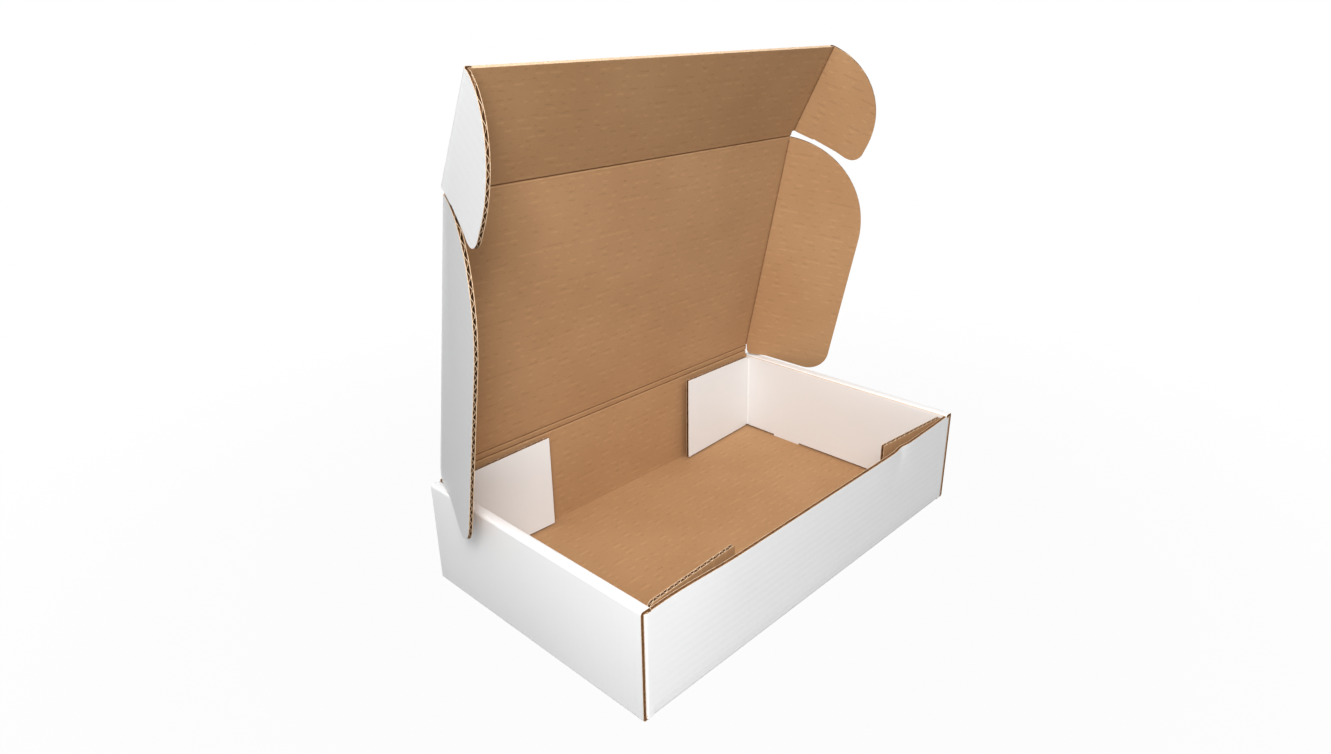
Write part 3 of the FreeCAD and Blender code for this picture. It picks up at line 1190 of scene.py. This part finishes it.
class Assembly:
    """Common start of every sub-assembly."""

    def __init__(self, sizes: BoxSizes, finishes: Finishes) -> None:
        """Keep the sizes and finishes.

        Args:
            sizes: Shared sizes.
            finishes: Materials of the board.
        """
        self.sizes = sizes
        self.finishes = finishes

    def piece(self, name: str) -> BoardPiece:
        """Start a flat piece."""
        return BoardPiece(name, self.sizes.board, self.finishes)

    def sheet(self, name: str) -> FoldedSheet:
        """Start a folded sheet."""
        return FoldedSheet(name, self.sizes.board, self.finishes)

    def creased(self, p: Panel) -> None:
        """Cut, crease, fold and place a panel, and blend it across its crease.

        Args:
            p: The panel.
        """
        piece = self.piece(p.name)
        piece.cut_flat(p.outline, p.core, p.under, p.over, p.wave)
        piece.slice(1 if p.fold.along_x else 0, p.fold.stations())
        piece.lay_flat_map(lambda co: (p.side * co.x, p.flat_y + co.y))
        if p.press is not None:
            piece.score(p.fold, p.press)
        piece.warp(p.fold.turned)
        piece.place(p.frame)
        start, end = (p.frame @ point for point in p.fold.ends(p.blend_at))
        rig.blend(piece.finish(p.node), p.root, p.node, start, end)


@dataclass(frozen=True)
class TrayShape:
    """How the tray is cut, and how its walls have relaxed."""

    front_bow: float = 3.0 * MM
    bow_start: float = -172.0 * MM
    bow_rise: float = 70.0 * MM
    bow_end: float = 178.0 * MM
    bow_fall: float = 95.0 * MM
    kink_at: float = 104.0 * MM
    kink_drop: float = 1.3 * MM
    kink_width: float = 7.0 * MM
    bow_power: float = 1.3
    kink_power: float = 6.0
    sink_share: float = 0.1
    left_dip: float = 2.0 * MM
    dip_length: float = 80.0 * MM
    soft_depth: float = 6.0 * MM
    stiff_height: float = 4.0 * MM
    fold_zone: float = 3.0 * MM
    foot: float = 0.6 * MM
    panel_lift: float = 1.8 * MM
    panel_gap: float = 3.0 * MM
    roll_lip: float = 4.2 * MM
    tab_width: float = 31.0 * MM
    tab_inset: float = 41.5 * MM
    corner_flap_length: float = 100.0 * MM
    bend_radius: float = 0.8 * MM


class Tray(Assembly):
    """Floor, walls and rolled sides: everything that stays locked."""

    def __init__(self, sizes: BoxSizes, finishes: Finishes, shape: TrayShape) -> None:
        """Keep the tray's own sizes too."""
        super().__init__(sizes, finishes)
        self.shape = shape

    def _lock(self, piece: BoardPiece) -> None:
        """Finish a piece that moves with the tray."""
        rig.ride(piece.finish("tray"), "tray")

    def _bow(self, x: float) -> float:
        """How far the front wall's top edge stands out at a place along it.

        Args:
            x: Place along the front wall.

        Returns:
            Metres outwards.
        """
        s = self.shape
        rise = min(max((x - s.bow_start) / s.bow_rise, 0.0), 1.0)
        fall = min(max((s.bow_end - x) / s.bow_fall, 0.0), 1.0)
        return s.front_bow * rise * rise * (3 - 2 * rise) * fall ** 0.8

    def _dent(self, x: float) -> float:
        """How far the dent in the front wall's top edge stands back, at a place along it."""
        s = self.shape
        return s.kink_drop * math.exp(-((x - s.kink_at) / s.kink_width) ** 2)

    def _dip(self, x: float) -> float:
        """How much lower the front wall's top edge is towards its left end."""
        s = self.shape
        return s.left_dip * max(1 - (x + self.sizes.outer_x) / s.dip_length, 0.0) ** 2

    def base(self) -> None:
        """Floor with the front and back walls."""
        z = self.sizes
        s = self.shape
        h = z.board.half
        front = z.front_y + h
        back = z.back_y - h
        sheet = self.sheet("tray_floor_and_walls")
        path = [(back, z.back_height - z.crease), (back, h), (front, h), (front, z.front_height)]
        sheet.section(path, -z.floor_edge, z.floor_edge, s.bend_radius, Slot.WHITE, Slot.KRAFT)
        # the section's x, y, z are the box's y, z, x
        sheet.place(Matrix(((0, 0, 1, 0), (1, 0, 0, 0), (0, 1, 0, 0), (0, 0, 0, 1))))
        sheet.slice(0, [z.floor_edge * i / 20 for i in range(-19, 20)])
        sheet.slice(0, [s.kink_at + away * MM for away in (-9, -5, -2, 2, 5, 9)])
        sheet.slice(2, [height * MM for height in (12, 26, 40, 54, 68, 78)])

        def flat(co: Vector) -> tuple[float, float]:
            """Unfold the walls outwards.

            Args:
                co: A point of the folded sheet.

            Returns:
                Its place on the flat sheet.
            """
            is_wall = co.z > 2 * h
            if is_wall and co.y < z.front_y + 2 * h + NEAR:
                return co.x, z.front_y - co.z
            if is_wall and co.y > z.back_y - 2 * h - NEAR:
                return co.x, z.back_y + co.z
            return co.x, co.y

        sheet.lay_flat_map(flat)

        def relax(co: Vector) -> Vector:
            """Bow the front wall's upper part outwards.

            Args:
                co: A point of the sheet.

            Returns:
                Where it has moved to.
            """
            if co.y > z.front_y + s.soft_depth or co.z < s.stiff_height:
                return co
            share = co.z / z.front_height
            out = self._bow(co.x) * share ** s.bow_power - self._dent(co.x) * share ** s.kink_power
            sink = s.sink_share * out + self._dip(co.x)
            return Vector((co.x, co.y - out, co.z - sink * share))

        sheet.warp(relax)
        self._lock(sheet)

    def corner(self, side: int, inward: int, name: str) -> None:
        """End of the front or back wall, turned into the side wall.

        Args:
            side: -1 left, 1 right.
            inward: 1 at the front, -1 at the back.
            name: Which corner, for the piece's name.
        """
        z = self.sizes
        h = z.board.half
        wall = z.front_y if inward > 0 else z.back_y
        x = z.outer_x - z.board.thickness - z.layer_gap - h
        y = wall + inward * h
        far = wall + inward * self.shape.corner_flap_length
        sheet = self.sheet("tray_corner_" + name)
        path = [(z.floor_edge, y * inward), (x, y * inward), (x, far * inward)]
        top = z.height - z.board.thickness - z.layer_gap
        sheet.section(path, self.shape.foot, top, self.shape.bend_radius, Slot.KRAFT, Slot.WHITE)
        sheet.lay_flat_map(lambda co: (co.x + (co.y * inward - z.front_y), z.front_y - co.z))
        sheet.place(Matrix.Diagonal((side, inward, 1, 1)))
        self._lock(sheet)

    def side(self, side: int, name: str) -> None:
        """Outer side wall, rolled over at the top.

        Args:
            side: -1 left, 1 right.
            name: Which side.
        """
        z = self.sizes
        h = z.board.half
        outer = z.outer_x - h
        inner = z.inner_x + h
        sheet = self.sheet("tray_side_wall_" + name)
        path = [(z.floor_edge, h), (outer, h), (outer, z.height - h), (inner, z.height - h),
                (inner, z.height - self.shape.roll_lip)]
        reach = z.depth / 2 - z.side_setback
        sheet.section(path, -reach, reach, self.shape.bend_radius, Slot.KRAFT, Slot.WHITE)
        # the section's x, y, z are the box's x, z, y
        sheet.place(Matrix(((1, 0, 0, 0), (0, 0, 1, 0), (0, 1, 0, 0), (0, 0, 0, 1))))

        def flat(co: Vector) -> tuple[float, float]:
            """Unfold the wall outwards and upwards.

            Args:
                co: A point of the folded sheet.

            Returns:
                Its place on the flat sheet.
            """
            if co.z < self.shape.fold_zone:
                return co.x, co.y
            if co.z > z.height - self.shape.fold_zone:
                return z.outer_x + z.height + (z.outer_x - co.x), co.y
            if co.x < z.outer_x - z.board.thickness - NEAR:
                return z.rolled_edge - co.z, co.y
            return z.outer_x + co.z, co.y

        sheet.lay_flat_map(flat)
        sheet.place(Matrix.Diagonal((side, 1, 1, 1)))
        self._lock(sheet)

    def inner_panel(self, side: int, name: str) -> None:
        """Inner side panel with its two locking tabs.

        Args:
            side: -1 left, 1 right.
            name: Which side.
        """
        z = self.sizes
        s = self.shape
        low = z.board.thickness + s.panel_lift
        high = z.height - s.roll_lip
        reach = z.depth / 2 - z.end_corner - s.panel_gap
        corners = [Corner(high, -reach), Corner(high, reach), Corner(low, reach)]
        for start in (z.depth / 2 - s.tab_inset, -z.depth / 2 + s.tab_inset + s.tab_width):
            stop = start - s.tab_width
            corners += [Corner(low, start), Corner(s.foot, start), Corner(s.foot, stop),
                        Corner(low, stop)]
        corners.append(Corner(low, -reach))
        piece = self.piece("inner_panel_" + name)
        piece.cut_flat(Outline(corners), Core.RECESSED, Slot.KRAFT, Slot.WHITE)
        piece.lay_flat_map(lambda co: (z.rolled_edge - co.x, co.y))
        # flat x is up, y stays, z looks into the tray
        x = side * (z.inner_x + z.board.half)
        piece.place(Matrix(((0, 0, -side, x), (0, 1, 0, 0), (1, 0, 0, 0), (0, 0, 0, 1))))
        self._lock(piece)

    def build(self) -> None:
        """Make the whole tray."""
        self.base()
        for side, side_name in ((-1, "left"), (1, "right")):
            self.side(side, side_name)
            self.inner_panel(side, side_name)
            for inward, end_name in ((1, "front"), (-1, "back")):
                self.corner(side, inward, end_name + "_" + side_name)


@dataclass(frozen=True)
class EndFlap:
    """One inner end flap."""

    side: int
    inward: int
    name: str
    length: float
    swing: float
    rise: float = 0.0
    lift: float = 1.9 * MM
    drop: float = 1.2 * MM
    slope_end: float = 5.0 * MM
    corner: float = 0.8 * MM
    crease: float = 3.0 * MM
    step: float = 0.5 * MM
    wave_rest: float = 0.2 * MM
    blend_at: float = 40.0 * MM


class EndFlaps(Assembly):
    """The four flaps folded in along the front and back walls."""

    flaps: tuple[EndFlap, ...] = (
        EndFlap(-1, 1, "front_left", 85.0 * MM, 2.5),
        EndFlap(1, 1, "front_right", 85.0 * MM, 4.8),
        EndFlap(-1, -1, "back_left", 98.0 * MM, 1.6, 4.0 * MM),
        EndFlap(1, -1, "back_right", 98.0 * MM, 3.4, 4.0 * MM),
    )

    def flap(self, f: EndFlap) -> None:
        """Make one flap with its corner crease.

        Args:
            f: Which flap.
        """
        z = self.sizes
        h = z.board.half
        low = z.board.thickness + f.lift
        high = z.height - f.drop
        start_high = z.height - z.board.thickness - f.drop
        outline = Outline([
            Corner(low, f.length, f.corner), Corner(high + f.rise, f.length, f.corner),
            Corner(high, f.slope_end), Corner(start_high, f.step),
            Corner(start_high, -f.crease), Corner(low, -f.crease),
        ])
        x = f.side * (z.inner_x + h)
        y = (z.front_y if f.inward > 0 else z.back_y) + f.inward * z.end_corner
        frame = Matrix(((0, 0, -f.side, x), (0, -f.inward, 0, y), (1, 0, 0, 0), (0, 0, 0, 1)))
        self.creased(Panel(
            "end_flap_" + f.name, "inner_flap_" + f.name, "tray", outline,
            Fold(0.0, 90.0 + f.swing, f.crease, True, h), frame, z.depth / 2,
            blend_at=f.blend_at, core=Core.WAVY,
            wave=(-f.crease + f.wave_rest, f.length - f.wave_rest),
            under=Slot.KRAFT, over=Slot.WHITE))

    def build(self) -> None:
        """Make all four."""
        for f in self.flaps:
            self.flap(f)


@dataclass(frozen=True)
class FlapShape:
    """Fold and cut of one of the lid's side flaps."""

    fold: float
    heel: float
    heel_end: float
    neck: float = 2.6 * MM
    neck_low: float = 0.6 * MM
    sill: float = -2.4 * MM
    sill_start: float = 6.0 * MM
    toe_drop: float = 4.0 * MM
    toe_end: float = 62.0 * MM
    toe_round: float = 6.0 * MM
    reach: float = 83.0 * MM
    round_rest: float = 0.5 * MM
    corner: float = 20.0 * MM
    relief: float = 1.0 * MM
    step: float = 0.02 * MM
    low_wave_rest: float = 0.3 * MM
    top_wave_rest: float = 0.5 * MM


@dataclass(frozen=True)
class EarShape:
    """Cut of the tuck panel and its ears."""

    tuck_depth: float = 85.5 * MM
    reach: float = 64.5 * MM
    round_rest: float = 0.5 * MM
    corner: float = 10.0 * MM
    heel: float = 3.5 * MM
    toe_drop: float = 1.0 * MM
    root_slope: float = 0.1 * MM
    notch_start: float = 19.0 * MM
    notch_step: float = 0.7 * MM
    notch_depth: float = 2.4 * MM
    notch_end: float = 43.0 * MM
    notch_left: float = 0.6 * MM
    run_out: float = 9.0 * MM
    wave_rest: float = 0.3 * MM
    left_fold: float = 75.0
    right_fold: float = 60.0


class Lid(Assembly):
    """Strip, lid, side flaps, tuck panel and ears."""

    left_flap: FlapShape = FlapShape(fold=69.5, heel=1.7 * MM, heel_end=31.0 * MM)
    right_flap: FlapShape = FlapShape(fold=57.0, heel=-0.6 * MM, heel_end=22.0 * MM)
    flap_press: Press = Press(0.6 * MM, 0.1 * MM)
    lid_press: Press = Press(0.8 * MM, 0.12 * MM)
    deep_press: Press = Press(0.9 * MM, 0.135 * MM)
    flap_blend_at: float = 60.0 * MM

    def __init__(self, sizes: BoxSizes, finishes: Finishes, ear: EarShape) -> None:
        """Keep the ears' sizes, and where strip, lid and tuck begin on the flat sheet.

        Args:
            sizes: Shared sizes.
            finishes: Materials of the board.
            ear: Cut of the tuck and its ears.
        """
        super().__init__(sizes, finishes)
        self.ear = ear
        self.strip_start = sizes.back_y + sizes.back_height
        self.lid_start = self.strip_start + sizes.hinge_strip_width
        self.tuck_start = self.lid_start + sizes.lid_panel_depth

    def strip(self) -> None:
        """Crease on top of the back wall and the narrow strip over it."""
        z = self.sizes
        half = z.lid_half
        c = z.crease
        middle = z.hinge_strip_width / 2
        outline = Outline([Corner(-half, -c), Corner(half, -c), Corner(half, middle),
                           Corner(-half, middle)])
        self.creased(Panel("lid_score_strip", "lid_hinge_strip", "tray", outline,
                           Fold(0.0, z.strip_lean, middle), z.wall_frame(), self.strip_start,
                           press=self.deep_press))

    def lid(self) -> None:
        """Lid panel with the crease to the strip."""
        z = self.sizes
        c = z.crease
        half = z.lid_half
        w = z.hinge_strip_width
        low = w + self.right_flap.relief
        top = w + z.lid_panel_depth - c
        outline = Outline([
            Corner(-half, w / 2), Corner(half, w / 2), Corner(half, low), Corner(half - c, low),
            Corner(half - c, top), Corner(-half + c, top), Corner(-half + c, low),
            Corner(-half, low),
        ])
        self.creased(Panel("lid_panel", "lid", "lid_hinge_strip", outline,
                           Fold(w, z.lid_bend, w / 2), z.strip_frame(), self.strip_start,
                           press=self.lid_press))

    def tuck(self) -> None:
        """Tuck panel with the crease to the lid."""
        z = self.sizes
        c = z.crease
        d = z.lid_panel_depth
        half = z.tuck_half - c
        low = d + 2 * z.tuck_overhang
        top = d + self.ear.tuck_depth
        outline = Outline([
            Corner(-z.lid_half, d - c), Corner(z.lid_half, d - c), Corner(z.lid_half, d),
            Corner(half, low), Corner(half, top), Corner(-half, top), Corner(-half, low),
            Corner(-z.lid_half, d),
        ])
        self.creased(Panel("tuck_panel_board", "tuck_panel", "lid", outline,
                           Fold(d, z.tuck_bend, c), z.lid_frame(), self.lid_start,
                           press=self.deep_press))

    def side_flap(self, side: int, name: str, f: FlapShape) -> None:
        """Side flap of the lid.

        Args:
            side: -1 left, 1 right.
            name: Which side.
            f: Its fold and cut.
        """
        z = self.sizes
        half = z.lid_half
        c = z.crease
        w = z.hinge_strip_width
        far = half + f.reach
        top = z.lid_panel_depth - f.relief
        toe = -f.toe_drop - w
        outline = Outline([
            Corner(half - c, f.relief), Corner(half + z.board.half, f.relief),
            Corner(half + f.neck, f.neck_low - w), Corner(half + f.sill_start, f.sill - w),
            Corner(half + f.heel_end, f.heel - w), Corner(half + f.toe_end, toe, f.toe_round),
            Corner(far, toe, f.corner), Corner(far, top, f.reach - f.round_rest),
            Corner(half + f.step, top), Corner(half + f.step, z.lid_panel_depth - c),
            Corner(half - c, z.lid_panel_depth - c),
        ])
        self.creased(Panel(
            "lid_side_flap_" + name, "side_flap_" + name, "lid", outline,
            Fold(half, f.fold, c, False), z.lid_frame() @ Matrix.Diagonal((side, 1, 1, 1)),
            self.lid_start, side, self.flap_blend_at, Core.WAVY,
            (toe + f.low_wave_rest, top - f.top_wave_rest), self.flap_press))

    def tuck_ear(self, side: int, name: str, fold_degrees: float) -> None:
        """Ear of the tuck panel.

        Args:
            side: -1 left, 1 right.
            name: Which side.
            fold_degrees: How far it is folded in.
        """
        z = self.sizes
        e = self.ear
        half = z.tuck_half
        c = z.crease
        root = 2 * z.tuck_overhang
        toe = e.heel - e.toe_drop
        far = half + e.reach
        outline = Outline([
            Corner(half - c, root + e.root_slope), Corner(half + e.notch_start, root),
            Corner(half + e.notch_start + e.notch_step, e.heel + e.notch_depth),
            Corner(half + e.notch_end, e.heel + e.notch_left),
            Corner(half + e.notch_end + e.run_out, toe), Corner(far, toe, e.corner),
            Corner(far, e.tuck_depth, e.reach - e.round_rest), Corner(half - c, e.tuck_depth),
        ])
        self.creased(Panel(
            "tuck_ear_board_" + name, "tuck_ear_" + name, "tuck_panel", outline,
            Fold(half, fold_degrees, c, False), z.tuck_frame() @ Matrix.Diagonal((side, 1, 1, 1)),
            self.tuck_start, side, self.flap_blend_at, Core.WAVY,
            (root, e.tuck_depth - e.wave_rest), self.flap_press))

    def build(self) -> None:
        """Make the whole lid."""
        self.strip()
        self.lid()
        self.tuck()
        self.side_flap(-1, "left", self.left_flap)
        self.side_flap(1, "right", self.right_flap)
        self.tuck_ear(-1, "left", self.ear.left_fold)
        self.tuck_ear(1, "right", self.ear.right_fold)


@dataclass(frozen=True)
class Lamp:
    """A soft square lamp that looks at the box."""

    name: str
    place: tuple[float, float, float]
    size: float
    power: float
    target: tuple[float, float, float] = (0.0, 0.0, 0.12)

    def hang(self) -> None:
        """Add the lamp to the scene."""
        data = bpy.data.lights.new(self.name, "AREA")
        data.shape = "SQUARE"
        data.size = self.size
        data.energy = self.power
        lamp = add_object(self.name, data)
        lamp.location = self.place
        aim = Vector(self.target) - Vector(self.place)
        lamp.rotation_euler = aim.to_track_quat("-Z", "Y").to_euler()


@dataclass(frozen=True)
class Studio:
    """Camera, lamps, floor and background."""

    eye: tuple[float, float, float] = (-480.04 * MM, -418.86 * MM, 406.25 * MM)
    right: tuple[float, float, float] = (0.69464, -0.71923, -0.01332)
    up: tuple[float, float, float] = (0.28281, 0.25602, 0.92437)
    forward: tuple[float, float, float] = (0.66143, 0.64588, -0.38125)
    focal_pixels: float = 877.04
    image_width: int = 1331
    sensor_width: float = 36.0
    ambient: float = 0.36
    white: Colour = (1.0, 1.0, 1.0, 1.0)
    floor_grey: Colour = (0.16, 0.16, 0.16, 1.0)
    floor_size: float = 6.0
    floor_glow: float = 0.965
    lamps: tuple[Lamp, ...] = (
        Lamp("wide_above_left", (-1.3, -0.6, 1.3), 1.6, 11.0),
        Lamp("front_above", (0.0, -1.0, 1.4), 1.2, 7.5),
        Lamp("above_camera", (-0.72, -0.62, 0.88), 0.35, 9.2),
        Lamp("low_front_left", (-0.66, -0.66, 0.12), 0.3, 1.6),
        Lamp("overhead", (0.0, -0.1, 1.5), 1.2, 3.4),
    )

    def camera(self) -> None:
        """Place the camera as the photograph's."""
        data = bpy.data.cameras.new("photo_camera")
        data.sensor_width = self.sensor_width
        data.lens = self.focal_pixels / self.image_width * self.sensor_width
        data.clip_start = 0.01
        data.clip_end = 50.0
        camera = add_object("photo_camera", data)
        columns = (Vector(self.right), Vector(self.up), -Vector(self.forward))
        turn = Matrix(columns).transposed().to_4x4()
        camera.matrix_world = Matrix.Translation(self.eye) @ turn
        bpy.context.scene.camera = camera

    def world(self) -> None:
        """White seen by the camera, plain soft light for the object."""
        world = bpy.data.worlds.new("studio_world")
        bpy.context.scene.world = world
        s = Shader(world)
        kind = "ShaderNodeBackground"
        seen = s.node(kind, {}, {"Color": self.white, "Strength": 1.0})
        light = s.node(kind, {}, {"Color": self.white, "Strength": self.ambient})
        share = s.node("ShaderNodeLightPath").out("Is Camera Ray")
        mixed = s.node("ShaderNodeMixShader", {}, {0: share, 1: light.out(), 2: seen.out()})
        s.node("ShaderNodeOutputWorld", {}, {"Surface": mixed.out()})

    def floor(self) -> None:
        """Pale floor that keeps a faint shadow."""
        bm = bmesh.new()
        bmesh.ops.create_grid(bm, x_segments=1, y_segments=1, size=self.floor_size)
        mesh = bpy.data.meshes.new("studio_floor")
        bm.to_mesh(mesh)
        bm.free()
        floor = add_object("studio_floor", mesh)
        s = Shader.material("studio_floor_white")
        matt = s.node("ShaderNodeBsdfDiffuse", {}, {"Color": self.floor_grey})
        glow = s.node("ShaderNodeEmission", {}, {"Color": self.white, "Strength": 1.0})
        place = s.node("ShaderNodeTexCoord").out("Object")
        away = s.node("ShaderNodeVectorMath", {"operation": "LENGTH"}, {0: place}).signal("Value")
        fade = away.ramp(0.25, 0.75) * (1.0 - self.floor_glow) + self.floor_glow
        seen = s.node("ShaderNodeLightPath").signal("Is Camera Ray") * fade
        mixed = s.node("ShaderNodeMixShader", {}, {0: seen, 1: matt.out(), 2: glow.out()})
        s.node("ShaderNodeOutputMaterial", {}, {"Surface": mixed.out()})
        mesh.materials.append(s.owner)
        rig.stage(floor)

    def build(self) -> None:
        """Set up the whole studio."""
        self.camera()
        self.world()
        self.floor()
        for lamp in self.lamps:
            lamp.hang()
        bpy.context.scene.view_settings.view_transform = "Standard"


def main() -> None:
    """Build the box piece by piece and report it."""
    logging.basicConfig(level=logging.INFO, format="%(message)s")
    finishes = Finishes()
    sizes = BoxSizes()
    Tray(sizes, finishes, TrayShape()).build()
    EndFlaps(sizes, finishes).build()
    Lid(sizes, finishes, EarShape()).build()
    Studio().build()
    visual = [list(corner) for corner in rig.bounds()]
    with open("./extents.json", "w", encoding="utf-8") as handle:
        json.dump({"cad": CAD_BOX, "visual": visual}, handle)
    LOG.info("box %s, dressed %s", CAD_BOX, visual)


if __name__ == "__main__":
    main()
